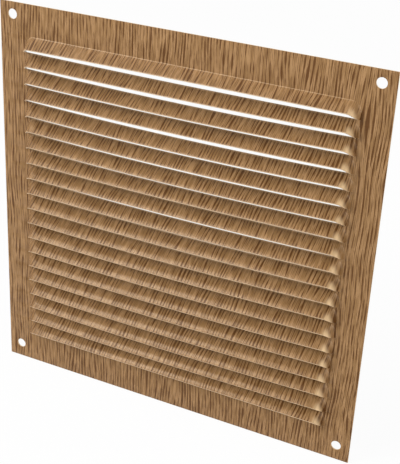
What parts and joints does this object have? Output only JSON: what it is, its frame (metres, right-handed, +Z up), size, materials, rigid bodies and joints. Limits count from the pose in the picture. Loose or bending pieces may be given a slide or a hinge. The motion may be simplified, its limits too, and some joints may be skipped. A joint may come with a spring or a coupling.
{
  "type": "louvred vent grille",
  "caption": "Flat square vent grille pressed from one thin sheet, with rows of outward louvre slats and a screw hole in each corner, in a printed wood-grain finish.",
  "frame": {"origin": "centre of the rectangle of four screw holes, in the plane of the sheet's back", "axes": "+X along the louvre slats, +Z up the wall, +Y through the sheet into the wall; the slats stand out towards -Y and slope down and outwards"},
  "size_m": [0.2, 0.007, 0.2],
  "materials": {
    "woodgrain_sheet": "satin lacquered aluminium with a printed oak grain, bare at the cut edges"
  },
  "bodies": {
    "root": {"grille_plate": "woodgrain_sheet"}
  },
  "joints": []
}
